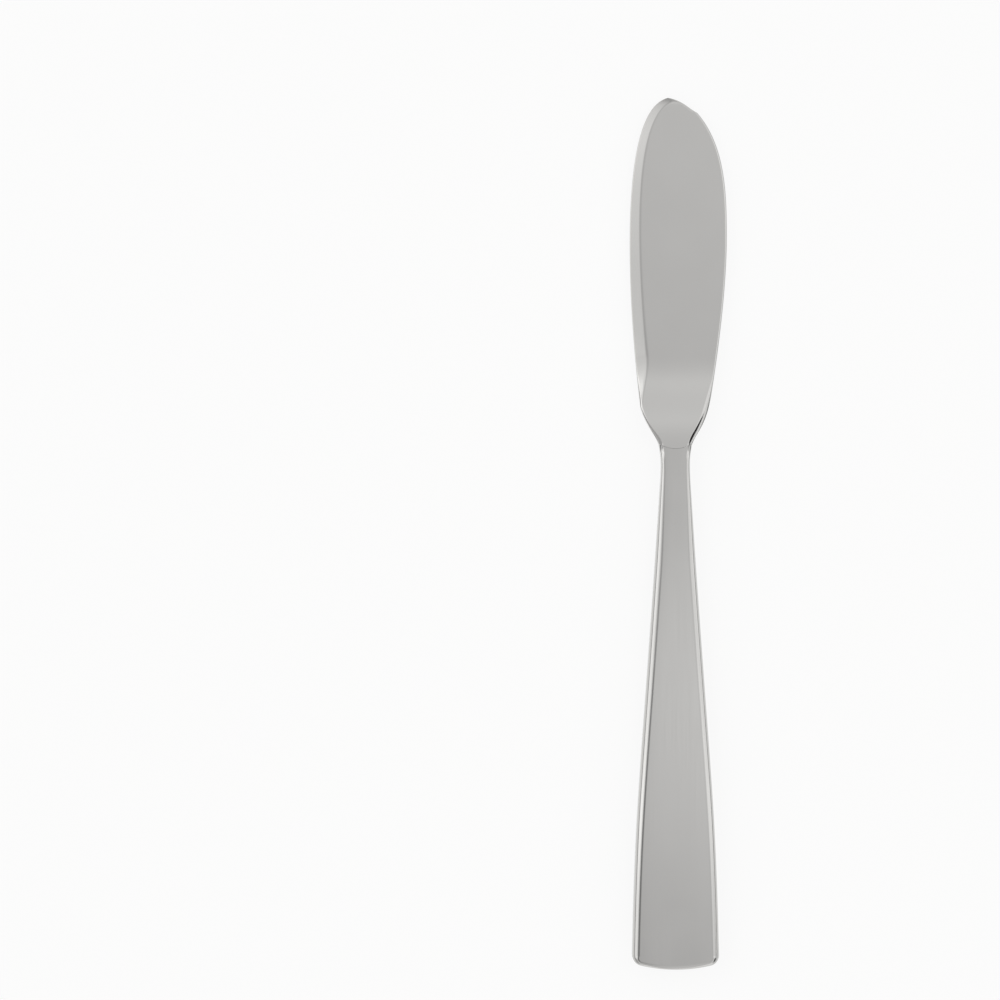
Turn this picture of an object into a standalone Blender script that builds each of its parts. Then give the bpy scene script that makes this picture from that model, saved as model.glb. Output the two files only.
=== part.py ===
"""A fish knife: a broad, blunt blade on a hollow handle.

The blade, its bolster and its tang are one forging. The handle is two pressed half shells that are
soldered together round their rim and filled with cement, which grips the tang. The knife is modelled
along Y, with the neck joint at the origin, the point towards +Y, the cutting edge towards -X and the
seam of the handle at z = 0. An empty then lays the knife down on the back face of its handle.
"""
from math import atan, cos, pi, radians, sin, sqrt, tan

import bmesh
import bpy
import numpy as np
from mathutils import Vector
from mathutils.geometry import interpolate_bezier

MM = 0.001

# Lengths, from the neck joint
BLADE_LENGTH = 82.5 * MM
HANDLE_LENGTH = 122.5 * MM

# Blade outline: a reach is sideways from the centre line of the handle, a rise is from the neck joint
HEEL_REACH = 8.2 * MM
HEEL_RISE = 9.6 * MM
EDGE_REACH = 10.7 * MM
EDGE_BELLY_RISE = 48 * MM
SHOULDER_REACH = 8.5 * MM
SHOULDER_RISE = 12.5 * MM
SPINE_REACH = 12.2 * MM
SPINE_BELLY_RISE = 50 * MM
CLIP_REACH = 5.2 * MM
CLIP_DROP = 3.5 * MM
POINT_OFFSET = 1.7 * MM

# Blade section
BLADE_THICKNESS = 1.9 * MM
POINT_THICKNESS = 1.3 * MM
BOLSTER_LENGTH = 22 * MM
CHAMFER_WIDTH = 0.45 * MM
CHAMFER_RUN = 2 * MM
CHAMFER_LENGTH = 8 * MM
CHAMFER_FADE = 10 * MM
SPINE_ROUND = 0.6 * MM
EDGE_THICKNESS = 0.5 * MM
EDGE_ROUND = 0.2 * MM
GRIND_ANGLE = radians(12.5)
GRIND_START = 8 * MM
GRIND_RUN = 14 * MM

# Handle outline and section
JOINT_WIDTH = 7.44 * MM
NECK_WIDTH = 6.76 * MM
NECK_LENGTH = 3.8 * MM
TAPER_WIDTH = 7.44 * MM
TAPER_START = 11 * MM
BUTT_WIDTH = 20.4 * MM
BUTT_ARC = 24 * MM
BUTT_CORNER = 2.2 * MM
NECK_THICKNESS = 5 * MM
BUTT_THICKNESS = 6.6 * MM
WALL = 0.7 * MM
NECK_BEND = 0.45 * MM
SIDE_BEND = 0.9 * MM
END_BEND = 0.15 * MM
BEND_RUN = 30 * MM
MOUTH_ARC = 6 * MM

# Solder, cement and tang
SOLDER_THICKNESS = 0.2 * MM
SOLDER_GAP = 0.1 * MM
JOINT_GAP = 0.2 * MM
CEMENT_GAP = 0.2 * MM
CEMENT_COVER = 0.5 * MM
CEMENT_RECESS = 2 * MM
TANG_LENGTH = 52 * MM
TANG_ROOT = 4 * MM
TANG_TIP_WIDTH = 2.6 * MM
NOTCH_COUNT = 3
NOTCH_LENGTH = 5 * MM
NOTCH_DEPTH = 0.5 * MM
NOTCH_RAMP = 0.6 * MM

# What follows from the sizes above
NECK_RIM = NECK_BEND + WALL
SEAM = SOLDER_THICKNESS + 2 * SOLDER_GAP
CEMENT_INSET = WALL + CEMENT_GAP
TANG_INSET = CEMENT_INSET + CEMENT_COVER + CEMENT_GAP
TANG_WIDTH = NECK_WIDTH - 2 * TANG_INSET
TANG_THICKNESS = NECK_THICKNESS - 2 * TANG_INSET
MOUTH_RISE = MOUTH_ARC - sqrt(MOUTH_ARC ** 2 - (JOINT_WIDTH / 2) ** 2)
SHELL_TOP = MOUTH_RISE + WALL
FACE_SLOPE = (BUTT_THICKNESS - NECK_THICKNESS) / 2 / HANDLE_LENGTH

# The most of a wall that its rounding takes, and of a narrow section that its grind and spine take
ROUND_SHARE = 0.8
SECTION_SHARE = 0.9

# The rise of the bolster's chamfer for its width, and the share of it that is a straight slope
CHAMFER_RISE = 0.62
CHAMFER_STRAIGHT = 0.73

# Fineness of the meshes
CURVE_POINTS = 40
BLADE_ROWS = 44
HANDLE_ROWS = 22
NECK_CROWDING = 1.5
CORNER_ROWS = 5
BUTT_ROWS = 7
ROUND_STEPS = 4
MOUTH_SIDES = 128
MERGE = 0.0001 * MM
SHARP_ANGLE = radians(32)

# Finishes
STEEL = (0.60, 0.60, 0.59)
SOLDER = (0.63, 0.61, 0.56)
CEMENT = (0.55, 0.52, 0.46)

ROUND_ANGLES = np.linspace(0, pi / 2, ROUND_STEPS + 1)


def smooth(t):
    """A ramp from 0 to 1 that starts and ends level."""
    t = np.clip(t, 0, 1)
    return t * t * (3 - 2 * t)


def mix(start, end, share):
    return start + (end - start) * share


def side_curve(knots, handles):
    """Points (reach, distance from the joint) on a smooth side through the knots.

    Each stretch has two handles, given as shares of the way to the next knot, across and along.
    """
    points = []
    for start, end, pair in zip(knots, knots[1:], handles):
        levers = [Vector(mix(np.array(start), np.array(end), np.array(share))) for share in pair]
        points += interpolate_bezier(Vector(start), *levers, Vector(end), CURVE_POINTS)
    return np.array(points)


def reach_at(curve, distance):
    return np.interp(distance, curve[:, 1], curve[:, 0])


def edge_side():
    """The cutting side: the concave shoulder, the heel, the belly and the sweep up to the point."""
    knots = [(JOINT_WIDTH / 2, 0), (HEEL_REACH, HEEL_RISE), (EDGE_REACH, EDGE_BELLY_RISE),
             (POINT_OFFSET, BLADE_LENGTH)]
    handles = [((0, 0.27), (0.71, 0.51)), ((0.35, 0.18), (1, 0.58)), ((0, 0.46), (0.19, 0.953))]
    return side_curve(knots, handles)


def spine_side():
    """The back of the blade: the shoulder, the long spine, and the clip that runs to the point."""
    knots = [(JOINT_WIDTH / 2, 0), (SHOULDER_REACH, SHOULDER_RISE), (SPINE_REACH, SPINE_BELLY_RISE),
             (CLIP_REACH, BLADE_LENGTH - CLIP_DROP), (-POINT_OFFSET, BLADE_LENGTH)]
    handles = [((0.09, 0.25), (0.68, 0.32)), ((0.24, 0.14), (1, 0.62)), ((0, 0.36), (0.06, 0.74)),
               ((0.33, 0.33), (0.5, 0.85))]
    return side_curve(knots, handles)


def handle_path(top, inset):
    """One side of the handle in plan, from y = top to the middle of the butt, moved in by inset.

    The side runs into the corner's arc, and the corner into the wide arc of the butt. Returns the
    points and their inward normals.
    """
    corner_x = BUTT_WIDTH / 2 - BUTT_CORNER
    arc_y = BUTT_ARC - HANDLE_LENGTH
    corner_y = arc_y - sqrt((BUTT_ARC - BUTT_CORNER) ** 2 - corner_x ** 2)
    turn = np.arctan2(corner_y - arc_y, corner_x)

    knots = [(JOINT_WIDTH / 2, 0), (NECK_WIDTH / 2, NECK_LENGTH), (TAPER_WIDTH / 2, TAPER_START),
             (BUTT_WIDTH / 2, -corner_y)]
    handles = [((0.5, 0.3), (1, 0.6)), ((0, 0.35), (0.51, 0.65)), ((0.7, 0.635), (0.87, 0.645))]
    side = side_curve(knots, handles)
    flare = (side[0, 0] - side[1, 0]) / side[1, 1]
    side = np.vstack([(side[0, 0] + flare * SHELL_TOP, -SHELL_TOP), side])

    y = mix(top, corner_y, np.linspace(0, 1, HANDLE_ROWS) ** NECK_CROWDING)
    corner = np.linspace(0, turn, CORNER_ROWS + 1)[1:]
    butt = np.linspace(turn, -pi / 2, BUTT_ROWS + 1)[1:]
    path = np.vstack([
        np.column_stack([reach_at(side, -y), y]),
        np.column_stack([corner_x + BUTT_CORNER * np.cos(corner), corner_y + BUTT_CORNER * np.sin(corner)]),
        np.column_stack([BUTT_ARC * np.cos(butt), arc_y + BUTT_ARC * np.sin(butt)]),
    ])
    path[-1, 0] = 0

    along = np.gradient(path, axis=0)
    along /= np.linalg.norm(along, axis=1, keepdims=True)
    inward = np.column_stack([along[:, 1], -along[:, 0]])
    inward[-1] = (0, 1)
    return path + inset * inward, inward


def half_thickness(y):
    """From the seam to the handle's face, which slopes evenly from the neck to the butt."""
    return NECK_THICKNESS / 2 - FACE_SLOPE * y


def pan_rows(top, inset, bottom, neck_round, side_round, end_round):
    """Half of a shallow pan: its wall, its rounded rim and its flat face up to the centre line."""
    path, inward = handle_path(top, inset)
    rim = mix(neck_round, side_round, smooth(-path[:, 1] / BEND_RUN))
    rim = mix(rim, end_round, smooth(inward[:, 1]))
    rows = np.zeros((len(path), ROUND_STEPS + 3, 3))
    rows[:, 0, :2] = path
    rows[:, 0, 2] = bottom
    for column, angle in enumerate(ROUND_ANGLES, 1):
        rows[:, column, :2] = path + inward * (rim * (1 - cos(angle)))[:, None]
        rows[:, column, 2] = half_thickness(rows[:, column, 1]) - inset - rim * (1 - sin(angle))
    rows[:, -1] = rows[:, -2] * (0, 1, 1)
    return rows


def close_ends(rows):
    """Adds a row at each end that draws the section together to its middle."""
    first = np.broadcast_to(rows[:1].mean(axis=1, keepdims=True), rows[:1].shape)
    last = np.broadcast_to(rows[-1:].mean(axis=1, keepdims=True), rows[-1:].shape)
    return np.concatenate([first, rows, last])


def tang_rows(gap):
    """Rectangular sections of the tang from its tip to inside the bolster, with gap added all round."""
    pitch = TANG_LENGTH / (NOTCH_COUNT + 1)
    reach = NOTCH_LENGTH / 2 - gap
    stations = [(-TANG_LENGTH - gap, 0)]
    for notch in range(NOTCH_COUNT, 0, -1):
        middle = -notch * pitch
        stations += [(middle - reach, 0), (middle - reach + NOTCH_RAMP, NOTCH_DEPTH),
                     (middle + reach - NOTCH_RAMP, NOTCH_DEPTH), (middle + reach, 0)]
    stations.append((TANG_ROOT, 0))

    rows = []
    for y, depth in stations:
        width = mix(TANG_WIDTH, TANG_TIP_WIDTH, np.clip(-y / TANG_LENGTH, 0, 1))
        x = width / 2 - depth + gap
        z = TANG_THICKNESS / 2 + gap
        rows.append([(-x, y, z), (x, y, z), (x, y, -z), (-x, y, -z)])
    return close_ends(np.array(rows))


def side_drop(angle, chamfer):
    """How far a side drops below the face, in shares of its rounding's width, from the wall (0) to the face (pi/2).

    The round gives way to a chamfer, which steepens towards the wall, by the share that is asked for.
    """
    outwards = cos(angle)
    slope = CHAMFER_RISE * mix(outwards ** 2, outwards, CHAMFER_STRAIGHT)
    return mix(1 - sin(angle), slope, chamfer)


def blade_rows():
    """Sections of the blade from the neck joint to the point.

    A section starts as the handle's neck. The bolster has chamfered sides and thins to the blade. Past
    the heel the spine is rounded and the other side is ground down to a blunt edge. Near the joint
    the rows bow, to follow the curved mouth of the handle.
    """
    share = np.linspace(0, 1, BLADE_ROWS + 1)[:-1]
    rise = mix(JOINT_GAP, BLADE_LENGTH, (1 - np.cos(pi * share)) / 2)
    bolster = 1 - smooth(rise / BOLSTER_LENGTH)
    side_rise = rise + MOUTH_RISE * bolster
    left = -reach_at(edge_side(), side_rise)
    right = reach_at(spine_side(), side_rise)
    chord = right - left
    left_slant = np.hypot(1, np.gradient(left, side_rise))
    right_slant = np.hypot(1, np.gradient(right, side_rise))

    half = mix(BLADE_THICKNESS, POINT_THICKNESS, rise / BLADE_LENGTH) / 2
    grind_width = (half - EDGE_THICKNESS / 2) / tan(GRIND_ANGLE)
    half = half + bolster * (NECK_THICKNESS - BLADE_THICKNESS) / 2
    ground = smooth((rise - GRIND_START) / GRIND_RUN)
    chamfer_start = smooth(rise / CHAMFER_RUN)
    chamfer_end = smooth((rise - CHAMFER_LENGTH) / CHAMFER_FADE)
    chamfer = chamfer_start * (1 - chamfer_end)
    edge_round = mix(mix(NECK_RIM, CHAMFER_WIDTH, chamfer_start), EDGE_ROUND, ground)
    grind = mix(edge_round, grind_width, ground) * left_slant
    spine_round = mix(NECK_RIM, SPINE_ROUND, chamfer_end)

    fit = np.minimum(1, SECTION_SHARE * chord / (grind + spine_round * right_slant))
    half = mix(EDGE_THICKNESS / 2, half, fit)
    edge_half = mix(half, EDGE_THICKNESS / 2, ground)
    edge_round = np.minimum(edge_round, ROUND_SHARE * edge_half)
    spine_round = np.minimum(spine_round, ROUND_SHARE * half)

    depths, heights = [], []
    for angle in ROUND_ANGLES:
        depths.append(fit * left_slant * edge_round * (1 - cos(angle)))
        heights.append(edge_half - edge_round * side_drop(angle, chamfer))
    for part in (0, 1 / 3, 2 / 3):
        depths.append(mix(fit * grind, chord - fit * right_slant * spine_round, part))
        heights.append(half)
    for angle in ROUND_ANGLES[::-1]:
        depths.append(chord - fit * right_slant * spine_round * (1 - cos(angle)))
        heights.append(half - spine_round * side_drop(angle, chamfer))

    depths = np.stack(depths, axis=1)
    across = (2 * depths / chord[:, None] - 1) * JOINT_WIDTH / 2
    scoop = MOUTH_ARC - np.sqrt(MOUTH_ARC ** 2 - across ** 2)
    top = np.stack([left[:, None] + depths, rise[:, None] + bolster[:, None] * scoop,
                    np.stack(heights, axis=1)], axis=2)
    rows = close_ends(np.concatenate([top, top[:, ::-1] * (1, 1, -1)], axis=1))
    rows[0] = (0, JOINT_GAP, 0)
    rows[-1] = (-POINT_OFFSET, BLADE_LENGTH, 0)
    return rows


def grid_mesh(name, rows, closed):
    """A mesh through rows of points. closed joins the last point of each row to its first."""
    count, width = rows.shape[:2]
    bm = bmesh.new()
    verts = [[bm.verts.new(point) for point in row] for row in rows]
    for row in range(count - 1):
        for column in range(width if closed else width - 1):
            following = (column + 1) % width
            bm.faces.new([verts[row][column], verts[row][following],
                          verts[row + 1][following], verts[row + 1][column]])
    bmesh.ops.remove_doubles(bm, verts=bm.verts, dist=MERGE)
    bmesh.ops.dissolve_degenerate(bm, edges=bm.edges, dist=MERGE)
    mesh = bpy.data.meshes.new(name)
    bm.to_mesh(mesh)
    bm.free()
    mesh.shade_smooth()
    mesh.set_sharp_from_angle(angle=SHARP_ANGLE)
    return mesh


def mouth_mesh():
    """A round bar that scoops out the mouth of the handle, where the bolster sits."""
    bm = bmesh.new()
    bmesh.ops.create_cone(bm, cap_ends=True, segments=MOUTH_SIDES, radius1=MOUTH_ARC, radius2=MOUTH_ARC,
                          depth=NECK_THICKNESS + BUTT_THICKNESS)
    bmesh.ops.translate(bm, verts=bm.verts, vec=(0, MOUTH_ARC, 0))
    mesh = bpy.data.meshes.new("handle_mouth")
    bm.to_mesh(mesh)
    bm.free()
    return mesh


def add_object(name, mesh, collection, frame):
    piece = bpy.data.objects.new(name, mesh)
    collection.objects.link(piece)
    piece.parent = frame
    return piece


def add_helper(name, mesh, collection, frame):
    """A body that only shapes other pieces."""
    helper = add_object(name, mesh, collection, frame)
    helper.hide_render = True
    helper.display_type = "WIRE"
    return helper


def combine(piece, helper, operation):
    modifier = piece.modifiers.new(helper.name, "BOOLEAN")
    modifier.operation = operation
    modifier.solver = "EXACT"
    modifier.object = helper


def mirror(piece, across_seam):
    """Doubles a piece across its centre line and, if asked, across the seam too."""
    modifier = piece.modifiers.new("mirror", "MIRROR")
    modifier.use_axis = (True, False, across_seam)
    modifier.merge_threshold = MERGE


def finish(piece, colour, roughness, metallic):
    """Gives the piece a material of its own."""
    material = bpy.data.materials.new(piece.name)
    material.use_nodes = True
    shader = material.node_tree.nodes["Principled BSDF"]
    shader.inputs["Base Color"].default_value = (*colour, 1)
    shader.inputs["Roughness"].default_value = roughness
    shader.inputs["Metallic"].default_value = metallic
    piece.data.materials.append(material)


def build_blade(collection, helpers, frame):
    """The forging: blade and bolster in one loft, joined to the notched tang."""
    blade = add_object("blade", grid_mesh("blade", blade_rows(), closed=True), collection, frame)
    tang = add_helper("tang", grid_mesh("tang", tang_rows(0), closed=True), helpers, frame)
    combine(blade, tang, "UNION")
    finish(blade, STEEL, 0.16, 1)


def build_shell(name, turn, mouth, collection, frame):
    """One pressed half of the handle. Its seam edge lies half the solder's space from the middle."""
    rows = pan_rows(SHELL_TOP, 0, SEAM / 2, NECK_RIM, SIDE_BEND + WALL, END_BEND + WALL)
    shell = add_object(name, grid_mesh(name, rows, closed=False), collection, frame)
    shell.rotation_euler.y = turn
    mirror(shell, across_seam=False)
    sheet = shell.modifiers.new("sheet", "SOLIDIFY")
    sheet.thickness = WALL
    sheet.offset = -1
    sheet.use_even_offset = True
    combine(shell, mouth, "DIFFERENCE")
    finish(shell, STEEL, 0.14, 1)


def build_solder(mouth, collection, frame):
    """The strip of solder between the seam edges of the shells, as wide as their wall."""
    path, inward = handle_path(SHELL_TOP, 0)
    rows = np.zeros((len(path), 4, 3))
    for column, (depth, height) in enumerate([(0, -0.5), (0, 0.5), (1, 0.5), (1, -0.5)]):
        rows[:, column, :2] = path + inward * depth * WALL
        rows[:, column, 2] = height * SOLDER_THICKNESS
    rows = close_ends(rows)[:-1]
    solder = add_object("seam_solder", grid_mesh("seam_solder", rows, closed=True), collection, frame)
    mirror(solder, across_seam=False)
    combine(solder, mouth, "DIFFERENCE")
    finish(solder, SOLDER, 0.3, 1)


def build_filling(collection, helpers, frame):
    """The cement inside the shells, with a socket that follows the tang and its notches."""
    rounds = [max(bend - CEMENT_GAP, CEMENT_GAP) for bend in (NECK_BEND, SIDE_BEND, END_BEND)]
    rows = pan_rows(-CEMENT_RECESS, CEMENT_INSET, 0, *rounds)
    rows[0, :, 1] = -CEMENT_RECESS
    cap = rows[:1] * (0, 1, 0)
    mesh = grid_mesh("handle_filling", np.concatenate([cap, rows]), closed=False)
    filling = add_object("handle_filling", mesh, collection, frame)
    mirror(filling, across_seam=True)
    socket_mesh = grid_mesh("tang_socket", tang_rows(CEMENT_GAP), closed=True)
    socket = add_helper("tang_socket", socket_mesh, helpers, frame)
    combine(filling, socket, "DIFFERENCE")
    finish(filling, CEMENT, 0.9, 0)


def lay_down(frame):
    """Turns the knife so that the handle's back face is level, and centres its box over the origin."""
    tilt = atan(FACE_SLOPE)
    frame.rotation_euler.x = -tilt
    frame.location = ((EDGE_REACH - SPINE_REACH) / 2,
                      (HANDLE_LENGTH - BLADE_LENGTH) / 2 * cos(tilt),
                      NECK_THICKNESS / 2 * cos(tilt))


def main():
    for old in list(bpy.data.objects):
        bpy.data.objects.remove(old)
    collection = bpy.data.collections.new("fish_knife")
    helpers = bpy.data.collections.new("helpers")
    bpy.context.scene.collection.children.link(collection)
    bpy.context.scene.collection.children.link(helpers)
    frame = bpy.data.objects.new("fish_knife_frame", None)
    collection.objects.link(frame)
    lay_down(frame)

    mouth = add_helper("handle_mouth", mouth_mesh(), helpers, frame)
    build_blade(collection, helpers, frame)
    build_shell("handle_front_shell", 0, mouth, collection, frame)
    build_shell("handle_back_shell", pi, mouth, collection, frame)
    build_solder(mouth, collection, frame)
    build_filling(collection, helpers, frame)


main()
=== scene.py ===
# %% [markdown]
# # A fish knife in polished steel
#
# A fish knife is a broad, blunt table knife that lifts the flesh of a fish from its bones. This one
# has a forged blade and a hollow handle of two pressed half shells. Its rigid model is already
# made, so this lesson gives it fine surfaces, finishes, a floor, light and a camera. The rigid
# model could be shown as it is, but polished metal is a mirror, and a mirror shows every facet.

import bmesh
import bpy
import numpy as np
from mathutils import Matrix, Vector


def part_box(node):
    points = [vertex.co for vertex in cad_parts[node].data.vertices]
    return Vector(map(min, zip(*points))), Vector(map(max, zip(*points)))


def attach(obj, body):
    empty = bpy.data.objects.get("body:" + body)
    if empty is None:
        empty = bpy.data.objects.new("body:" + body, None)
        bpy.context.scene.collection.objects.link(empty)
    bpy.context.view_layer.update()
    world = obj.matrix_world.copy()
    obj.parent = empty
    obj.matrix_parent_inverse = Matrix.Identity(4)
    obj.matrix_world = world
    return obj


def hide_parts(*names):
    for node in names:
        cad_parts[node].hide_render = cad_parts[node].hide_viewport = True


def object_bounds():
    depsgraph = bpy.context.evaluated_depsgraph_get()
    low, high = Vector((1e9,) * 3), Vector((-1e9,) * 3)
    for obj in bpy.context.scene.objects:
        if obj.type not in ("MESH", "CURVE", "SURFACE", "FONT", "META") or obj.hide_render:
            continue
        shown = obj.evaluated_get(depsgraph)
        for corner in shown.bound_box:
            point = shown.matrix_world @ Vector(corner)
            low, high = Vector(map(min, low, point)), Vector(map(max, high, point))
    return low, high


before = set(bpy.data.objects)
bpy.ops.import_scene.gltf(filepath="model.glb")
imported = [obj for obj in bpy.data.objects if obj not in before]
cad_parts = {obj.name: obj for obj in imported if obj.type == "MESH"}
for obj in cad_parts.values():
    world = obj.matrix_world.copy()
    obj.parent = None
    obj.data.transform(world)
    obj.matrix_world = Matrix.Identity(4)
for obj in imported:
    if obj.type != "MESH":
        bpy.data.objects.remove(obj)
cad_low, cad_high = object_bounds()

print("Pieces in the rigid model:", ", ".join(sorted(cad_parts)))

# %% [markdown]
# ## Where the knife lies
#
# The knife is easiest to describe along its own axes: the neck joint at the origin, the point
# towards +Y, the cutting edge towards -X and the seam of the handle at z = 0, all in millimetres.
# It could be modelled that way and then moved as an object. Here every point is moved instead, so
# that each finished object sits unturned at the origin. The handle is thicker at the butt, so the
# knife is tipped a little until the back of the handle is level on the table.

# %% Lay points down in the frame
MM = 0.001
BLADE_LENGTH = 82.5
HANDLE_LENGTH = 122.5
NECK_THICKNESS = 5.0
BUTT_THICKNESS = 6.6

FACE_SLOPE = (BUTT_THICKNESS - NECK_THICKNESS) / 2 / HANDLE_LENGTH
TIP_ANGLE = np.arctan(FACE_SLOPE)
shell_low, shell_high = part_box("handle_front_shell")
NECK_PLACE = np.array([
    (shell_low.x + shell_high.x) / 2 / MM,
    cad_high.y / MM - BLADE_LENGTH * np.cos(TIP_ANGLE),
    NECK_THICKNESS / 2 * np.cos(TIP_ANGLE),
])


def lay_down(points):
    """Local millimetres to metres in the frame.

    The turn by t gives y' = y cos t + z sin t and z' = z cos t - y sin t, and then comes a shift.
    """
    cos, sin = np.cos(TIP_ANGLE), np.sin(TIP_ANGLE)
    turn = np.array([[1, 0, 0], [0, cos, sin], [0, -sin, cos]])
    return (points @ turn.T + NECK_PLACE) * MM


print("The neck joint lies at", NECK_PLACE.round(2), "mm, and the knife is tipped by",
      round(float(np.degrees(TIP_ANGLE)), 2), "degrees")

# %% [markdown]
# ## From a grid of points to a mesh
#
# Every piece below is a grid: one direction runs along the piece and the other across its section.
# A grid could be built face by face, but its corner numbers follow a rule, so whole arrays of them
# are cut from one table. Where a grid closes on itself or shrinks to a pole, its doubled points are
# merged, and then the faces are turned outwards.

# %% Mesh helpers
MERGE = 1e-8
SHARP_ANGLE = np.radians(35)


def quads(index):
    """Corner numbers of the quads between neighbouring rows and columns of a table of numbers."""
    corners = [index[:-1, :-1], index[:-1, 1:], index[1:, 1:], index[1:, :-1]]
    return np.stack(corners, axis=-1).reshape(-1, 4)


def make_piece(name, points, faces, stands_for):
    """A piece from local points and corner numbers, which rides on the body and replaces a node."""
    mesh = bpy.data.meshes.new(name)
    mesh.from_pydata(lay_down(points.reshape(-1, 3)).tolist(), [], faces.tolist())
    bm = bmesh.new()
    bm.from_mesh(mesh)
    bmesh.ops.remove_doubles(bm, verts=bm.verts, dist=MERGE)
    bmesh.ops.recalc_face_normals(bm, faces=bm.faces)
    open_edges = sum(not edge.is_manifold for edge in bm.edges)
    bm.to_mesh(mesh)
    bm.free()
    mesh.shade_smooth()
    mesh.set_sharp_from_angle(angle=SHARP_ANGLE)
    piece = bpy.data.objects.new(name, mesh)
    bpy.context.scene.collection.objects.link(piece)
    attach(piece, "root")
    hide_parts(stands_for)
    print(name, "has", len(mesh.polygons), "faces and", open_edges, "open edges")
    return piece


# %% [markdown]
# ## The outline
#
# Seen from above, the sides of the knife are long sweeps with a few places where they turn: the
# shoulder, the heel, the belly and the point. They could be traced with many points, but then the
# reflections would wobble. A few knots joined by Bezier curves keep the sweep clean.

# %% Curves through a few knots
CURVE_POINTS = 2000


def smooth(t):
    """A ramp from 0 to 1 that starts and ends level: 3 t^2 - 2 t^3."""
    t = np.clip(t, 0, 1)
    return t * t * (3 - 2 * t)


def smoother(t):
    """The same with level ends that also start and stop bending gently: 6 t^5 - 15 t^4 + 10 t^3."""
    t = np.clip(t, 0, 1)
    return t ** 3 * (6 * t * t - 15 * t + 10)


def mix(start, end, share):
    """The point that lies this share of the way from start to end."""
    return start + (end - start) * share


def side_curve(knots, handles):
    """Points (reach from the centre line, distance from the joint) on a chain of Bezier stretches.

    A stretch from knot P to knot Q has two handles A and B, given as shares of the way from P to Q,
    across and along. Its points are (1-t)^3 P + 3 (1-t)^2 t A + 3 (1-t) t^2 B + t^3 Q.
    """
    knots = np.array(knots, float)
    start, end = knots[:-1, None], knots[1:, None]
    corners = np.concatenate([start, mix(start, end, np.array(handles, float)), end], axis=1)
    t = np.linspace(0, 1, CURVE_POINTS)
    weights = np.stack([(1 - t) ** 3, 3 * (1 - t) ** 2 * t, 3 * (1 - t) * t ** 2, t ** 3])
    return np.einsum("kp,skd->spd", weights, corners).reshape(-1, 2)


def reach_at(curve, distance):
    """Reach of a side at a distance from the joint: straight between the curve's points."""
    return np.interp(distance, curve[:, 1], curve[:, 0])


# %% Outline of the blade
JOINT_WIDTH = 7.44
HEEL_REACH, HEEL_RISE = 8.2, 9.6
EDGE_REACH, EDGE_BELLY_RISE = 10.7, 48
SHOULDER_REACH, SHOULDER_RISE = 8.5, 12.5
SPINE_REACH, SPINE_BELLY_RISE = 12.2, 50
CLIP_REACH, CLIP_DROP = 5.2, 3.5
POINT_OFFSET = 1.7

edge_side = side_curve(
    [(JOINT_WIDTH / 2, 0), (HEEL_REACH, HEEL_RISE), (EDGE_REACH, EDGE_BELLY_RISE),
     (POINT_OFFSET, BLADE_LENGTH)],
    [((0.09, 0.27), (0.71, 0.51)), ((0.35, 0.18), (1, 0.58)), ((0, 0.46), (0.19, 0.953))])
spine_side = side_curve(
    [(JOINT_WIDTH / 2, 0), (SHOULDER_REACH, SHOULDER_RISE), (SPINE_REACH, SPINE_BELLY_RISE),
     (CLIP_REACH, BLADE_LENGTH - CLIP_DROP), (-POINT_OFFSET, BLADE_LENGTH)],
    [((0.09, 0.25), (0.68, 0.32)), ((0.24, 0.14), (1, 0.62)),
     ((0, 0.36), (0.06, 0.74)), ((0.33, 0.33), (0.5, 0.85))])
print("The blade is", round(edge_side[:, 0].max() + spine_side[:, 0].max(), 1), "mm wide")

# %% Outline of the handle
NECK_WIDTH, NECK_LENGTH = 6.76, 3.8
TAPER_WIDTH, TAPER_START = 7.44, 11
BUTT_WIDTH = 20.4
BUTT_ARC = 36
BUTT_CORNER = 2.5
MOUTH_ARC, MOUTH_DROP = 7, 0.2

corner_x = BUTT_WIDTH / 2 - BUTT_CORNER
butt_arc_y = BUTT_ARC - HANDLE_LENGTH
corner_y = butt_arc_y - np.sqrt((BUTT_ARC - BUTT_CORNER) ** 2 - corner_x ** 2)
corner_turn = np.arctan2(corner_y - butt_arc_y, corner_x)
handle_side = side_curve(
    [(JOINT_WIDTH / 2, 0), (NECK_WIDTH / 2, NECK_LENGTH), (TAPER_WIDTH / 2, TAPER_START),
     (BUTT_WIDTH / 2, -corner_y)],
    [((0.5, 0.3), (1, 0.6)), ((0, 0.35), (0.51, 0.65)), ((0.7, 0.635), (0.87, 0.645))])


def mouth_rise(x):
    """Height of the mouth's scoop above the joint: R - sqrt(R^2 - x^2), less the drop."""
    return MOUTH_ARC - np.sqrt(MOUTH_ARC ** 2 - np.clip(x, -MOUTH_ARC, MOUTH_ARC) ** 2) - MOUTH_DROP


# The mouth of the handle is a shallow scoop, a circle whose lowest point lies a little below the
# joint. Above the joint the side runs on along the blade's flare, the mean of its two sides, and
# ends where it meets the circle.
flare_y = np.linspace(0, MOUTH_ARC / 2, CURVE_POINTS)
flare_x = (reach_at(edge_side, flare_y) + reach_at(spine_side, flare_y)) / 2
below_mouth = flare_y < mouth_rise(flare_x)
mouth_top = flare_y[below_mouth].max()
mouth_reach = flare_x[below_mouth].max()
handle_side = np.vstack([np.column_stack([flare_x, -flare_y])[below_mouth][:0:-1], handle_side])
print("The mouth of the handle rises", round(float(mouth_top), 2), "mm at its sides")

# %% [markdown]
# ## The pressed shells of the handle
#
# Each half of the handle is a shallow pan of sheet steel: a low wall, a soft rounded rim and a flat
# face. A Bevel could round the rim, but a bevel is a plain arc that starts and stops at once.
# Buffing leaves a rim that eases into the flat, and the thin dark and bright lines along the handle
# come from that. So the section is a squared circle, carried along the outline, and the wall
# thickness is a second, inner sheet.

# %% A soft quarter round
ROUND_POWER = 2.6
ROUND_STEPS = 28


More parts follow.
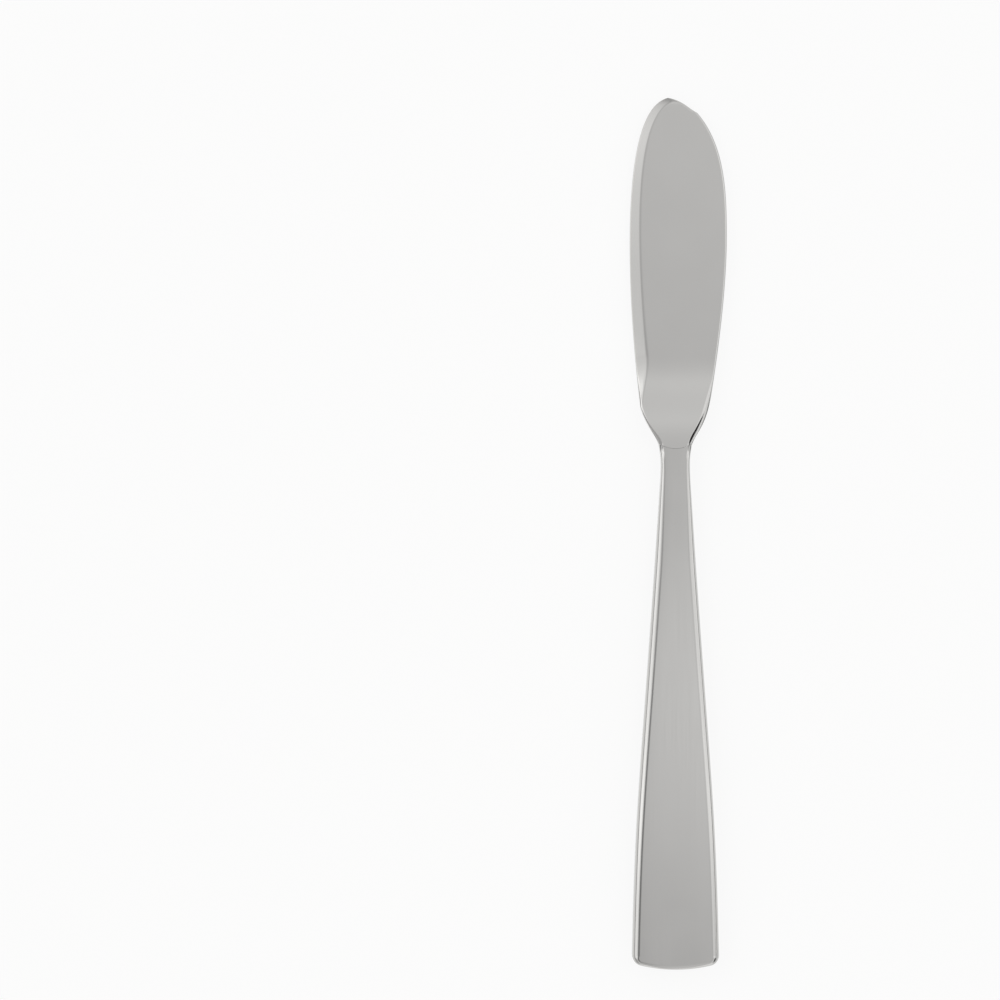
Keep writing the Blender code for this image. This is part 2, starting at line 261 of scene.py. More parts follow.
def soft_round():
    """Depth, drop and lean of a quarter round of size 1, from the wall (lean 0) to the face.

    The squared circle is x^n + z^n = 1. Where its normal leans up by a, x is cos(a)^(1/(n-1)) and
    z is sin(a)^(1/(n-1)), both divided by the n-th root of the sum of their n-th powers.
    """
    lean = np.linspace(0, np.pi / 2, ROUND_STEPS)
    across = np.cos(lean).clip(0) ** (1 / (ROUND_POWER - 1))
    up = np.sin(lean) ** (1 / (ROUND_POWER - 1))
    size = (across ** ROUND_POWER + up ** ROUND_POWER) ** (1 / ROUND_POWER)
    return 1 - across / size, 1 - up / size, lean


round_depth, round_drop, round_lean = soft_round()
print("The quarter round has", ROUND_STEPS, "points")

# %% The chamfer around the joint
CHAMFER_RISE, CHAMFER_STRAIGHT = 0.62, 0.6
CHAMFER_DOWN, CHAMFER_UP, CHAMFER_FADE = 3, 8, 10


def side_drop(y):
    """How far the rounding of a side drops, for rows at y, in shares of its width.

    Around the joint the round gives way to a chamfer that steepens outwards, h (k v + (1 - k) v^2),
    where v goes from 0 at the face to 1 at the wall.
    """
    share = smooth(1 + y / CHAMFER_DOWN) * (1 - smooth((y - CHAMFER_UP) / CHAMFER_FADE))
    outwards = 1 - round_depth
    chamfer = CHAMFER_RISE * mix(outwards ** 2, outwards, CHAMFER_STRAIGHT)
    return mix(round_drop, chamfer, share[:, None])


# %% The path of the rim
SIDE_ROWS = 230
CORNER_ROWS = 24
BUTT_ROWS = 36
BUTT_CROWDING = 1.5


def both_sides(half, flip):
    """Runs on from one half of the handle to its mirror image, without doubling the middle."""
    return np.concatenate([half, (half * flip)[-2::-1]])


def rim_path():
    """Points and outward normals of the handle in plan, from one end of the mouth to the other.

    The side is (reach(y), y), with normal (1, -reach') made unit. The corner and the butt are arcs,
    centre + radius (cos a, sin a), with normal (cos a, sin a).
    """
    y = mix(mouth_top, corner_y, smooth(np.linspace(0, 1, SIDE_ROWS)))
    x = reach_at(handle_side, -y)
    side_normal = np.column_stack([np.ones(SIDE_ROWS), -np.gradient(x, y)])
    side_normal /= np.linalg.norm(side_normal, axis=1, keepdims=True)
    corner = np.linspace(0, corner_turn, CORNER_ROWS + 1)[1:]
    butt = mix(corner_turn, -np.pi / 2, np.linspace(0, 1, BUTT_ROWS + 1)[1:] ** BUTT_CROWDING)
    corner_normal = np.column_stack([np.cos(corner), np.sin(corner)])
    butt_normal = np.column_stack([np.cos(butt), np.sin(butt)])
    path = np.vstack([
        np.column_stack([x, y]),
        (corner_x, corner_y) + BUTT_CORNER * corner_normal,
        (0, butt_arc_y) + BUTT_ARC * butt_normal,
    ])
    normal = np.vstack([side_normal, corner_normal, butt_normal])
    path[-1, 0] = 0
    normal[-1] = (0, -1)
    return both_sides(path, (-1, 1)), both_sides(normal, (-1, 1))


path, normal = rim_path()
print("The rim has", len(path), "stations")

# %% The pan
WALL = 0.7
SEAM = 0.4
NECK_RIM = 0.95
SIDE_RIM = 1.8
END_RIM = 1.15
RIM_RUN = 30
BOW_RUN = 8
MOUTH_LIP = 0.05
LEAST_BEND = 0.1
CROWN_SLOPE, CROWN_POWER = 0.03, 4
FAN_REACH = 12
WALL_SHARES = np.array([0, 0.5, 0.9])
FACE_SHARES = np.concatenate([[0.005, 0.02, 0.05], np.linspace(0.1, 1, 10)])


def half_thickness(y):
    """From the seam to the face, which slopes evenly from the neck to the butt."""
    return NECK_THICKNESS / 2 - FACE_SLOPE * y


def rim_width(y):
    """Width of the rounded rim along the side, which grows from the neck."""
    return mix(NECK_RIM, SIDE_RIM, smooth(-y / RIM_RUN))


def face_crown(x, y):
    """Drop of the buffed face: slope w / n (|x| / w)^n, where w is the face's half width.

    Past the face it runs on along its slope.
    """
    face_reach = reach_at(handle_side, -y) - rim_width(y)
    share = np.abs(x) / face_reach
    bend = np.where(share < 1, share ** CROWN_POWER, 1 + CROWN_POWER * (share - 1))
    return CROWN_SLOPE * face_reach / CROWN_POWER * bend


def pan_sheet(inset, lip):
    """One skin of the pan as a grid: rows along the rim, columns from the seam to the centre line.

    The section is carried along the path: a point is the path, less depth along the normal, and
    its height is the face's height less the drops of the crown and the round. On the face, columns
    run straight to the centre line, or to one fan point near the butt. Rows near the mouth are
    drawn on to its scoop, and their lip turns inwards along the surface normal by
    r - sqrt(r^2 - (r - run)^2).
    """
    edge = path - inset * normal
    rim = mix(rim_width(path[:, 1]), END_RIM, smooth(-normal[:, 1]))
    rim = np.maximum(rim - inset, LEAST_BEND)[:, None]

    depth = np.concatenate([0 * WALL_SHARES, round_depth])
    rounded = edge[:, None] - normal[:, None] * (rim * depth)[..., None]
    centre = np.column_stack([0 * path[:, 0], np.maximum(edge[:, 1], FAN_REACH - HANDLE_LENGTH)])
    face = mix(rounded[:, -1:], centre[:, None], FACE_SHARES[:, None])
    flat = np.concatenate([rounded, face], axis=1)

    run = (mouth_top - path[:, 1])[:, None]
    fade = 1 - smooth(run / BOW_RUN)
    off_scoop = flat[..., 1] - path[:, 1:] + mouth_rise(path[:, :1]) - mouth_rise(flat[..., 0])
    flat[..., 1] -= fade * off_scoop

    top = half_thickness(flat[..., 1]) - face_crown(flat[..., 0], flat[..., 1]) - inset
    wall_end = len(WALL_SHARES)
    round_end = wall_end + ROUND_STEPS
    drop = rim * side_drop(path[:, 1])
    height = top.copy()
    height[:, :wall_end] = mix(SEAM / 2, top[:, :wall_end] - drop[:, :1], WALL_SHARES)
    height[:, wall_end:round_end] -= drop

    lean = np.concatenate([0 * WALL_SHARES, round_lean, 0 * FACE_SHARES + np.pi / 2])
    outward = np.concatenate([normal[:, None] * np.cos(lean)[:, None],
                              np.broadcast_to(np.sin(lean), height.shape)[..., None]], axis=2)
    turned = 1 - np.sqrt(1 - np.clip(1 - run / MOUTH_LIP, 0, 1) ** 2)
    return np.dstack([flat, height]) - outward * (lip * MOUTH_LIP * turned)[..., None]


def shell_faces(rows, columns):
    """Quads of the outer skin, the inner skin, the edge at the seam and the ends at the mouth."""
    outer, inner = np.arange(2 * rows * columns).reshape(2, rows, columns)
    sheets = [outer, inner[:, ::-1], np.stack([inner[:, 0], outer[:, 0]], axis=1),
              np.stack([outer[0], inner[0]], axis=1), np.stack([inner[-1], outer[-1]], axis=1)]
    return np.concatenate([quads(sheet) for sheet in sheets])


pan = np.stack([pan_sheet(0, 1), pan_sheet(WALL, 0)])
pan_faces = shell_faces(*pan.shape[1:3])
print("Each skin of the pan has", pan.shape[1], "rows and", pan.shape[2], "columns")

# %% Front and back shells
# The back shell is the front one turned half round about the length of the knife: x and z change
# sign.
HALF_TURN = np.array([-1, 1, -1])

front_shell = make_piece("front_shell", pan, pan_faces, "handle_front_shell")
back_pan = pan * HALF_TURN
back_shell = make_piece("back_shell", back_pan, pan_faces, "handle_back_shell")

# %% [markdown]
# ## The brazed seam
#
# The two shells are brazed together with a strip of silver alloy, and the joint is then filed and
# buffed until only a hairline is left along the sides. It could be painted on as a line. As a strip
# of its own it keeps the hairline's tiny steps, which catch the light.

# %% A strip along the rim
SEAM_STEP = 0.015
SEAM_EDGE = 0.05


def seam_strip():
    """A flat bar along the path: its section is a rectangle with the two outer corners cut off."""
    half = SEAM / 2 - SEAM_STEP
    depths = SEAM_STEP + np.array([0, 0, SEAM_EDGE, WALL, WALL, SEAM_EDGE])
    heights = np.array([-1, 1, 1, 1, -1, -1]) * half + np.array([1, -1, 0, 0, 0, 0]) * SEAM_EDGE
    flat = path[:, None] - normal[:, None] * depths[:, None]
    rows = np.dstack([flat, np.broadcast_to(heights, flat.shape[:2])])
    middles = rows.mean(axis=1, keepdims=True)
    ends = np.broadcast_to(middles, rows.shape)
    return np.concatenate([ends[:1], rows, ends[-1:]])


def closed_faces(rows, columns):
    """Quads of a tube: the last column joins the first."""
    index = np.arange(rows * columns).reshape(rows, columns)
    return quads(np.hstack([index, index[:, :1]]))


strip = seam_strip()
strip_faces = closed_faces(*strip.shape[:2])
seam_braze = make_piece("seam_braze", strip, strip_faces, "seam_solder")

# %% [markdown]
# ## The forged blade
#
# The blade, its bolster and its tang are one forging. At the neck its section is that of the
# handle. It then thins and widens into a flat blade, whose cutting side is ground down to a blunt
# edge. A flat outline with a bevel would give the blade but not the bolster, so the whole forging
# is one loft: every row is a section with the same columns, from the hidden tang to the point.

# %% How the section changes along the blade
BLADE_ROWS = 420
JOINT_CLEARANCE = 0.015
BLADE_THICKNESS, POINT_THICKNESS = 1.9, 1.3
BOLSTER_LENGTH = 22
EDGE_CHAMFER, SPINE_CHAMFER, CHAMFER_RUN = 0.45, 1.15, 5
SPINE_ROUND = 0.6
EDGE_THICKNESS, EDGE_ROUND = 0.5, 0.2
GRIND_SLOPE = np.tan(np.radians(12.5))
GRIND_START, GRIND_RUN = 8, 14
SECTION_SHARE, FIT_POWER = 0.9, 6
ROUND_SHARE = 0.8

rise = BLADE_LENGTH * (1 - np.cos(np.pi * np.linspace(0, 1, BLADE_ROWS + 1)[:-1])) / 2
bow_fade = 1 - smooth(rise / BOLSTER_LENGTH)
lip = MOUTH_LIP * (1 - np.sqrt(1 - np.clip(1 - rise / MOUTH_LIP, 0, 1) ** 2))
side_rise = rise + bow_fade * mouth_top
left = lip - reach_at(edge_side, side_rise)
right = reach_at(spine_side, side_rise) - lip
chord = right - left
left_slant = np.hypot(1, np.gradient(left, side_rise))
right_slant = np.hypot(1, np.gradient(right, side_rise))
print("The blade's widest section is", round(float(chord.max()), 1), "mm")

# %% Thickness, grind and rounding
BOLSTER_START = 0.1


def bolster_lift(y):
    """How far the bolster's face lies above the blade's: all of its extra thickness at the joint.

    With t along the bolster it falls by 6 t^5 - 15 t^4 + 10 t^3, mixed with a little of
    1 - (1 - t)^3, so that it already slopes at the joint.
    """
    t = np.clip(y / BOLSTER_LENGTH, 0, 1)
    fallen = mix(smoother(t), 1 - (1 - t) ** 3, BOLSTER_START)
    return (1 - fallen) * (NECK_THICKNESS - BLADE_THICKNESS) / 2


plain_half = mix(BLADE_THICKNESS, POINT_THICKNESS, rise / BLADE_LENGTH) / 2
half = plain_half + bolster_lift(rise) - lip
ground = smooth((rise - GRIND_START) / GRIND_RUN)
leaving = smooth(rise / CHAMFER_RUN)
fading = smooth((rise - CHAMFER_UP) / CHAMFER_FADE)
edge_round = mix(mix(NECK_RIM, EDGE_CHAMFER, leaving), EDGE_ROUND, ground)
spine_round = mix(mix(NECK_RIM, SPINE_CHAMFER, leaving), SPINE_ROUND, fading)
grind = mix(edge_round, (plain_half - EDGE_THICKNESS / 2) / GRIND_SLOPE, ground)

# Near the point the section is too narrow for the whole grind, so all widths shrink by the same
# fit. It is a soft minimum of 1 and q: q / (1 + q^p)^(1/p).
room = SECTION_SHARE * chord / (grind * left_slant + spine_round * right_slant)
fit = room / (1 + room ** FIT_POWER) ** (1 / FIT_POWER)
half = mix(EDGE_THICKNESS / 2, half, fit)
edge_half = mix(half, EDGE_THICKNESS / 2, ground)
edge_round = np.minimum(edge_round, ROUND_SHARE * edge_half)
spine_round = np.minimum(spine_round, ROUND_SHARE * half)
print("The blade is", round(2 * float(half[-1]), 2), "mm thick at its point")

# %% The section
CREASE = 0.2
GRIND_SHARES = np.linspace(0, 1, 14)[1:]
BLADE_SHARES = np.concatenate([[0.01, 0.04], np.linspace(0.1, 0.9, 17), [0.96, 0.99]])
SIDE_SHARES = np.array([0.5, 0.95])
EDGE_PART, SPINE_PART = 0.2, 0.8
SETTLE_TURNS = 8


def grind_drop(t):
    """How far the ground facet lies under the face: 1 - t, eased by a parabola around t = 1."""
    return np.where(t < 1 - CREASE, 1 - t, np.clip(1 + CREASE - t, 0, None) ** 2 / (4 * CREASE))


def blade_sections():
    """Rows of points round the blade's section: over the front to the spine, and back underneath.

    A column lies at a depth from the cutting side. Its height is half the thickness, less the drop
    of the ground facet, less the drop of the rounding at either side. Rows near the joint bow like
    the mouth, so their points slide sideways, in a few turns, until each keeps its depth from the
    outline beside it. The upright sides get columns of their own, at shares of their height.
    """
    column = np.newaxis
    edge_width = (fit * left_slant * edge_round)[:, column]
    grind_width = (fit * left_slant * grind)[:, column]
    spine_width = (fit * right_slant * spine_round)[:, column]
    last = chord[:, column]
    facet_end = np.maximum(grind_width * (1 + CREASE), edge_width * (1 + CREASE))

    depth = np.concatenate([
        edge_width * round_depth,
        mix(edge_width, facet_end, GRIND_SHARES),
        mix(facet_end, last - spine_width, BLADE_SHARES),
        last - spine_width * round_depth[::-1],
    ], axis=1)
    flat_columns = np.zeros((len(rise), len(GRIND_SHARES) + len(BLADE_SHARES)))
    rounding = side_drop(rise)
    drop = np.concatenate([
        edge_round[:, column] * rounding,
        flat_columns,
        spine_round[:, column] * rounding[:, ::-1],
    ], axis=1)
    drop = drop + (half - edge_half)[:, column] * grind_drop(depth / grind_width)

    spine_share = smooth((depth / last - EDGE_PART) / (SPINE_PART - EDGE_PART))
    x = left[:, column] + depth
    for _ in range(SETTLE_TURNS):
        across = 2 * (x - left[:, column]) / last - 1
        bow = JOINT_CLEARANCE + mouth_rise(across * mouth_reach)
        y = rise[:, column] + bow_fade[:, column] * bow
        from_edge = lip[:, column] - reach_at(edge_side, y) + depth
        from_spine = reach_at(spine_side, y) - lip[:, column] - last + depth
        x = mix(from_edge, from_spine, spine_share)
    lift = bolster_lift(y) - bolster_lift(rise[:, column])
    top = np.dstack([x, y, half[:, column] + lift - drop])
    lower = np.column_stack([np.ones_like(SIDE_SHARES), np.ones_like(SIDE_SHARES), SIDE_SHARES])
    top = np.concatenate([top[:, :1] * lower, top, top[:, -1:] * lower[::-1]], axis=1)
    return np.concatenate([top, top[:, ::-1] * (1, 1, -1)], axis=1)


sections = blade_sections()
print("Each section has", sections.shape[1], "points")

# %% The tang
TANG_LENGTH = 52
TANG_WIDTH, TANG_TIP_WIDTH = 3.56, 2.6
TANG_THICKNESS = 1.8
NOTCH_COUNT, NOTCH_LENGTH, NOTCH_DEPTH, NOTCH_RAMP = 3, 5, 0.5, 0.6


def tang_sections(columns):
    """Rectangles from the tang's tip to the joint, narrowed by the notches that the cement grips.

    Their width goes evenly from the tip to the joint, less twice the notch's depth inside a notch.
    """
    pitch = TANG_LENGTH / (NOTCH_COUNT + 1)
    steps = np.array([-NOTCH_LENGTH / 2, NOTCH_RAMP - NOTCH_LENGTH / 2,
                      NOTCH_LENGTH / 2 - NOTCH_RAMP, NOTCH_LENGTH / 2])
    notches = (steps - pitch * np.arange(NOTCH_COUNT, 0, -1)[:, None]).ravel()
    y = np.concatenate([[-TANG_LENGTH], notches, [0]])
    depth = np.concatenate([[0], np.tile([0, NOTCH_DEPTH, NOTCH_DEPTH, 0], NOTCH_COUNT), [0]])
    reach = mix(TANG_WIDTH, TANG_TIP_WIDTH, -y / TANG_LENGTH) / 2 - depth
    x = reach[:, None] * np.linspace(-1, 1, columns // 2)
    top = np.dstack([x, np.broadcast_to(y[:, None], x.shape), np.full(x.shape, TANG_THICKNESS / 2)])
    return np.concatenate([top, top[:, ::-1] * (1, 1, -1)], axis=1)


tang = tang_sections(sections.shape[1])
tang_end = np.broadcast_to((0, -TANG_LENGTH, 0), tang[:1].shape)
point = np.broadcast_to((-POINT_OFFSET, BLADE_LENGTH, 0), tang[:1].shape)
forging = np.concatenate([tang_end, tang, sections, point])
forging_faces = closed_faces(*forging.shape[:2])
forged_blade = make_piece("forged_blade", forging, forging_faces, "blade")

# %% [markdown]
# ## Finishes
#
# All that shows is stainless steel, ground and then buffed on soft wheels until it mirrors the
# room. Plain mirror metal looks like a drawing, because real buffing leaves faint lines along the
# stroke and soft clouds where the wheel dwelt. Both are noises, sized in millimetres and laid on
# Object coordinates, so they stay put when the knife is turned.

# %% Node and colour helpers
def linear(hex_colour):
    """An sRGB hex colour as linear RGBA, by c / 12.92 or ((c + 0.055) / 1.055)^2.4."""
    srgb = np.array([int(hex_colour[i:i + 2], 16) for i in (1, 3, 5)]) / 255
    low, high = srgb / 12.92, ((srgb + 0.055) / 1.055) ** 2.4
    return (*np.where(srgb <= 0.04045, low, high).tolist(), 1)


def add(tree, kind, inputs=(), **settings):
    """Adds a node with its settings. Each of its inputs gets a value or another node's output."""
    node = tree.nodes.new(kind)
    for name, value in settings.items():
        setattr(node, name, value)
    for socket, value in dict(inputs).items():
        if isinstance(value, bpy.types.NodeSocket):
            tree.links.new(value, node.inputs[socket])
        else:
            node.inputs[socket].default_value = value
    return node


def new_material(name):
    """An empty material with its node tree and its Principled shader, joined to the output."""
    material = bpy.data.materials.new(name)
    material.use_nodes = True
    tree = material.node_tree
    return material, tree, tree.nodes["Principled BSDF"]


# %% Buffed stainless steel
# Stainless steel is a warm light grey, a little darker than silver. Buffing along the handle leaves
# lines about 0.05 mm apart, too fine for this picture, so they are drawn 0.35 mm apart.
STEEL = "#CBCAC8"
STEEL_SHADE = "#C5C4C2"
LINE_SPACING = 0.35 * MM
LINE_LENGTH = 30 * MM
LINE_HEIGHT = 0.00025 * MM
LINE_DETAIL, LINE_GRIT = 3, 0.6
CLOUD_SIZE = 14 * MM
CLOUD_DETAIL, CLOUD_GRIT = 2, 0.5
WEAR_LOW, WEAR_HIGH = 0.1, 0.45
HANDLE_ROUGHNESS, HANDLE_SPREAD = 0.07, 0.06
BLADE_ROUGHNESS, BLADE_SPREAD = 0.08, 0.07


def buffed_steel(name, roughness, spread):
    """Buffed stainless steel: a mirror whose sharpness varies with the buffing lines and clouds."""
    material, tree, shader = new_material(name)
    place = add(tree, "ShaderNodeTexCoord").outputs["Object"]
    lines_place = add(tree, "ShaderNodeMapping", {
        "Vector": place, "Scale": (1 / LINE_SPACING, 1 / LINE_LENGTH, 1 / LINE_SPACING)})
    lines = add(tree, "ShaderNodeTexNoise", {
        "Vector": lines_place.outputs["Vector"], "Scale": 1,
        "Detail": LINE_DETAIL, "Roughness": LINE_GRIT})
    clouds = add(tree, "ShaderNodeTexNoise", {
        "Vector": place, "Scale": 1 / CLOUD_SIZE,
        "Detail": CLOUD_DETAIL, "Roughness": CLOUD_GRIT})
    colour = add(tree, "ShaderNodeMix", {
        "Factor": clouds.outputs["Fac"], "A": linear(STEEL_SHADE), "B": linear(STEEL)},
        data_type="RGBA")
    wear = add(tree, "ShaderNodeMath", {
        0: lines.outputs["Fac"], 1: clouds.outputs["Fac"]}, operation="MULTIPLY")
    gloss = add(tree, "ShaderNodeMapRange", {
        "Value": wear.outputs["Value"], "From Min": WEAR_LOW, "From Max": WEAR_HIGH,
        "To Min": roughness, "To Max": roughness + spread})
    relief = add(tree, "ShaderNodeBump", {
        "Height": lines.outputs["Fac"], "Strength": 1, "Distance": LINE_HEIGHT})
    shader.inputs["Metallic"].default_value = 1
    tree.links.new(colour.outputs["Result"], shader.inputs["Base Color"])
    tree.links.new(gloss.outputs["Result"], shader.inputs["Roughness"])
    tree.links.new(relief.outputs["Normal"], shader.inputs["Normal"])
    return material


handle_steel = buffed_steel("stainless_steel_buffed", HANDLE_ROUGHNESS, HANDLE_SPREAD)
blade_steel = buffed_steel("stainless_steel_buffed_blade", BLADE_ROUGHNESS, BLADE_SPREAD)
front_shell.data.materials.append(handle_steel)
back_shell.data.materials.append(handle_steel)
forged_blade.data.materials.append(blade_steel)
print("The steel is", handle_steel.name, "on the handle and", blade_steel.name, "on the blade")

# %% Silver braze
# Brazing alloy is silver with copper and zinc, so it is a touch warmer and softer than the steel.
BRAZE = "#CFCABD"
BRAZE_SHADE = "#BDB6A4"
BRAZE_GRAIN, BRAZE_DETAIL = 0.4 * MM, 2
BRAZE_SMOOTH, BRAZE_ROUGH = 0.15, 0.35


def silver_braze(name):
    """Filed and buffed silver braze: warm metal with a fine uneven grain."""
    material, tree, shader = new_material(name)
    place = add(tree, "ShaderNodeTexCoord").outputs["Object"]
    grain = add(tree, "ShaderNodeTexNoise", {
        "Vector": place, "Scale": 1 / BRAZE_GRAIN, "Detail": BRAZE_DETAIL})
    colour = add(tree, "ShaderNodeMix", {
        "Factor": grain.outputs["Fac"], "A": linear(BRAZE_SHADE), "B": linear(BRAZE)},
        data_type="RGBA")
    gloss = add(tree, "ShaderNodeMapRange", {
        "Value": grain.outputs["Fac"], "To Min": BRAZE_SMOOTH, "To Max": BRAZE_ROUGH})
    shader.inputs["Metallic"].default_value = 1
    tree.links.new(colour.outputs["Result"], shader.inputs["Base Color"])
    tree.links.new(gloss.outputs["Result"], shader.inputs["Roughness"])
    return material


seam_braze.data.materials.append(silver_braze("silver_braze_filed"))
print("The seam is", seam_braze.data.materials[0].name)

# %% Handle cement
# The filling is a hard resin full of mineral sand. It is hidden, but it shows if a shell is taken
# off.
CEMENT = "#C4BCAD"
CEMENT_SAND = "#8F8775"
CEMENT_ROUGHNESS = 0.9
SAND_GRAIN, SAND_DETAIL = 0.8 * MM, 4
SPECKLE_LOW, SPECKLE_HIGH = 0.35, 0.65
SAND_HEIGHT = 0.1 * MM


def sanded_cement(name):
    """Cast resin cement with sand: matt, speckled and slightly pitted."""
    material, tree, shader = new_material(name)
    place = add(tree, "ShaderNodeTexCoord").outputs["Object"]
    sand = add(tree, "ShaderNodeTexNoise", {
        "Vector": place, "Scale": 1 / SAND_GRAIN, "Detail": SAND_DETAIL})
    speckle = add(tree, "ShaderNodeMapRange", {
        "Value": sand.outputs["Fac"], "From Min": SPECKLE_LOW, "From Max": SPECKLE_HIGH})
    colour = add(tree, "ShaderNodeMix", {
        "Factor": speckle.outputs["Result"], "A": linear(CEMENT_SAND), "B": linear(CEMENT)},
        data_type="RGBA")
    relief = add(tree, "ShaderNodeBump", {
        "Height": sand.outputs["Fac"], "Strength": 1, "Distance": SAND_HEIGHT})
    shader.inputs["Roughness"].default_value = CEMENT_ROUGHNESS
    tree.links.new(colour.outputs["Result"], shader.inputs["Base Color"])
    tree.links.new(relief.outputs["Normal"], shader.inputs["Normal"])
    return material


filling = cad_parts["handle_filling"]
filling.data.materials.clear()
filling.data.materials.append(sanded_cement("resin_cement_cast"))
print("The filling is", filling.data.materials[0].name)

# %% [markdown]
# ## The table
#
# The knife lies on plain white paper. White paper under plain light is never quite white in a
# picture, so the paper glows a little of its own accord wherever it is seen, straight or in the
# steel, and still takes the soft shadow of the knife. More lamps would whiten the paper too, but
# they would burn out the steel.

# %% White paper
FLOOR_SIZE = 60
PAPER = "#F6F6F5"
PAPER_GLOW = 0.87


def white_paper(name):
    """Matt white paper: diffuse, mixed with a glow of strength 1 where it is seen or mirrored."""
    material, tree, shader = new_material(name)
    rays = add(tree, "ShaderNodeLightPath").outputs
    seen = add(tree, "ShaderNodeMath", {
        0: rays["Is Camera Ray"], 1: rays["Is Glossy Ray"]}, operation="ADD")
    seen = add(tree, "ShaderNodeMath", {0: seen.outputs["Value"], 1: rays["Is Transmission Ray"]},
               operation="ADD", use_clamp=True)
    share = add(tree, "ShaderNodeMath", {
        0: seen.outputs["Value"], 1: PAPER_GLOW}, operation="MULTIPLY")
    glow = add(tree, "ShaderNodeEmission", {"Color": (1, 1, 1, 1), "Strength": 1})
    shader.inputs["Base Color"].default_value = linear(PAPER)
    shader.inputs["Roughness"].default_value = 1
    shader.inputs["Specular IOR Level"].default_value = 0
    both = add(tree, "ShaderNodeMixShader", {
        0: share.outputs["Value"], 1: shader.outputs["BSDF"], 2: glow.outputs["Emission"]})
    tree.links.new(both.outputs["Shader"], tree.nodes["Material Output"].inputs["Surface"])
    return material


floor_mesh = bpy.data.meshes.new("paper")
floor_corners = np.array([(-1, -1, 0), (1, -1, 0), (1, 1, 0), (-1, 1, 0)]) * FLOOR_SIZE / 2
floor_mesh.from_pydata(floor_corners.tolist(), [], [(0, 1, 2, 3)])
floor_mesh.materials.append(white_paper("white_paper_matt"))
floor = bpy.data.objects.new("paper", floor_mesh)
bpy.context.scene.collection.objects.link(floor)
print("The paper is", FLOOR_SIZE, "m wide")

# %% [markdown]
# ## The studio
#
# Polished steel has hardly any colour of its own: what the eye sees is the room. A photographer
# hangs long soft panels beside the knife, with dark gaps between them, and each rounded edge
# gathers the panels into fine lines. Lamps could do it, but the room is simpler to set as a dome
# whose brightness depends on the direction. Across the knife it follows the angle from overhead to
# the left or the right, and along the knife a second, gentler ramp.

# %% Light by direction
# Each stop is an angle from overhead, in degrees, and a brightness, where 1 shows white paper as
# white. Across the knife negative angles are on the left, and along it they are towards the butt.
ACROSS_STOPS = [
    (-90, 1), (-86, 0.3), (-79, 0.3), (-72, 1.45), (-31, 1.45), (-26, 1), (-16, 1), (-11, 0.7),
    (-5, 0.68), (-1.5, 0.78), (1, 0.81), (4, 0.85), (6.5, 0.86), (9.5, 0.79), (14, 0.84),
    (20, 1.15), (72, 1.2), (79, 0.3), (86, 0.3), (90, 1),
]
ALONG_STOPS = [
    (-90, 1), (-60, 0.95), (-20, 0.92), (-8, 0.82), (-5.4, 0.78), (-3.3, 1), (-1.5, 1.1),
    (0.1, 1.06), (1.2, 0.84), (2.4, 0.87), (4, 0.92), (7, 0.97), (13, 1.1), (22, 1),
    (40, 0.75), (65, 0.75), (80, 1), (90, 1),
]
# A flag is a dark screen in front of the panels. It has a middle, a reach and a soft edge, across
# and along in degrees, and the share of the light that it takes away.
FLAGS = [
    ((45, -28), (15, 17), (3, 4), 0.97),
    ((-49, -44), (21, 26), (4, 8), 0.6),
    ((-10.5, -8.7), (4.5, 7.2), (3, 4), 0.6),
    ((-5, -16), (4, 2.5), (3, 3), 0.4),
]


def fill_ramp(ramp, stops, brightest):
    """Sets a ramp from (degrees, brightness) pairs, with -90 degrees at 0 and 90 degrees at 1."""
    for angle, _ in stops[1:-1]:
        ramp.elements.new((angle + 90) / 180)
    for element, (angle, level) in zip(ramp.elements, stops):
        element.position = (angle + 90) / 180
        element.color = (*[level / brightest] * 3, 1)


world = bpy.data.worlds.new("studio_dome")
bpy.context.scene.world = world
world.use_nodes = True
dome = world.node_tree
direction = add(dome, "ShaderNodeTexCoord").outputs["Generated"]
axes = add(dome, "ShaderNodeSeparateXYZ", {0: direction}).outputs
background = dome.nodes["Background"]
strength = 1
angles, tones = [], []
for axis, stops in (("X", ACROSS_STOPS), ("Y", ALONG_STOPS)):
    brightest = max(level for _, level in stops)
    strength *= brightest
    angle = add(dome, "ShaderNodeMath", {
        0: axes[axis], 1: axes["Z"]}, operation="ARCTAN2").outputs["Value"]
    share = add(dome, "ShaderNodeMapRange", {
        "Value": angle, "From Min": -np.pi / 2, "From Max": np.pi / 2})
    ramp = add(dome, "ShaderNodeValToRGB", {"Fac": share.outputs["Result"]})
    fill_ramp(ramp.color_ramp, stops, brightest)
    angles.append(angle)
    tones.append(ramp.outputs["Color"])
light = add(dome, "ShaderNodeMix", {"Factor": 1, "A": tones[0], "B": tones[1]},
            data_type="RGBA", blend_type="MULTIPLY").outputs["Result"]
print("The brightest the dome could be is", round(strength, 2))

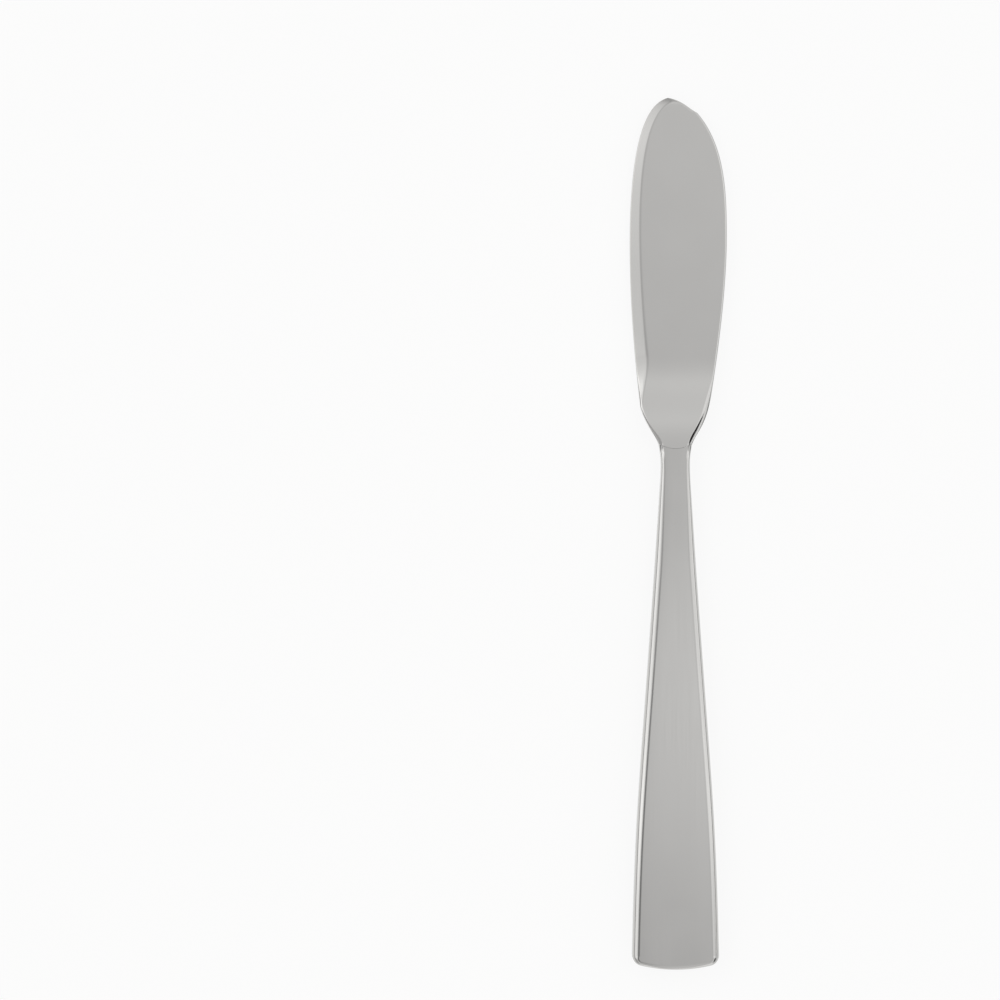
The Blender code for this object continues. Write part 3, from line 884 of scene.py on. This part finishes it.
# %% Flags
for middle, reach, soft, share in FLAGS:
    cover = share
    for angle, centre, half_width, edge in zip(angles, middle, reach, soft):
        off = add(dome, "ShaderNodeMath", {0: angle, 1: np.radians(centre)}, operation="SUBTRACT")
        off = add(dome, "ShaderNodeMath", {0: off.outputs["Value"]}, operation="ABSOLUTE")
        inside = add(dome, "ShaderNodeMapRange", {
            "Value": off.outputs["Value"], "From Min": np.radians(half_width + edge),
            "From Max": np.radians(half_width)}, interpolation_type="SMOOTHSTEP")
        cover = add(dome, "ShaderNodeMath", {
            0: inside.outputs["Result"], 1: cover}, operation="MULTIPLY").outputs["Value"]
    light = add(dome, "ShaderNodeMix", {"Factor": cover, "A": light, "B": (0, 0, 0, 1)},
                data_type="RGBA").outputs["Result"]
dome.links.new(light, background.inputs["Color"])
background.inputs["Strength"].default_value = strength
print("The dome has", len(ACROSS_STOPS), "stops across,", len(ALONG_STOPS), "along, and",
      len(FLAGS), "flags")

# %% [markdown]
# ## The camera
#
# The knife is seen from straight above, point upwards, to the right of the middle of the picture. A
# long lens from far away keeps the outline true. The camera's height follows from the knife's
# length in the picture, and it looks straight down, so nothing is shifted or turned.

# %% Look straight down
# The picture's side, and the knife's ends and centre in it, are in pixels. The outline is seen a
# few millimetres above the table.
LENS = 135
SENSOR = 36
IMAGE_SIDE = 1000
KNIFE_TOP, KNIFE_BOTTOM = 97, 969
KNIFE_CENTRE = 678.65
OUTLINE_HEIGHT = 4

metres_per_pixel = (cad_high.y - cad_low.y) / (KNIFE_BOTTOM - KNIFE_TOP)
camera_data = bpy.data.cameras.new("camera")
camera_data.lens = LENS
camera_data.sensor_width = SENSOR
camera = bpy.data.objects.new("camera", camera_data)
camera.location = (
    (IMAGE_SIDE / 2 - KNIFE_CENTRE) * metres_per_pixel,
    ((KNIFE_TOP + KNIFE_BOTTOM) / 2 - IMAGE_SIDE / 2) * metres_per_pixel,
    IMAGE_SIDE * metres_per_pixel * LENS / SENSOR + OUTLINE_HEIGHT * MM,
)
bpy.context.scene.collection.objects.link(camera)
bpy.context.scene.camera = camera
bpy.context.scene.view_settings.view_transform = "Standard"
print("The camera hangs", round(camera.location.z, 3), "m above the table")
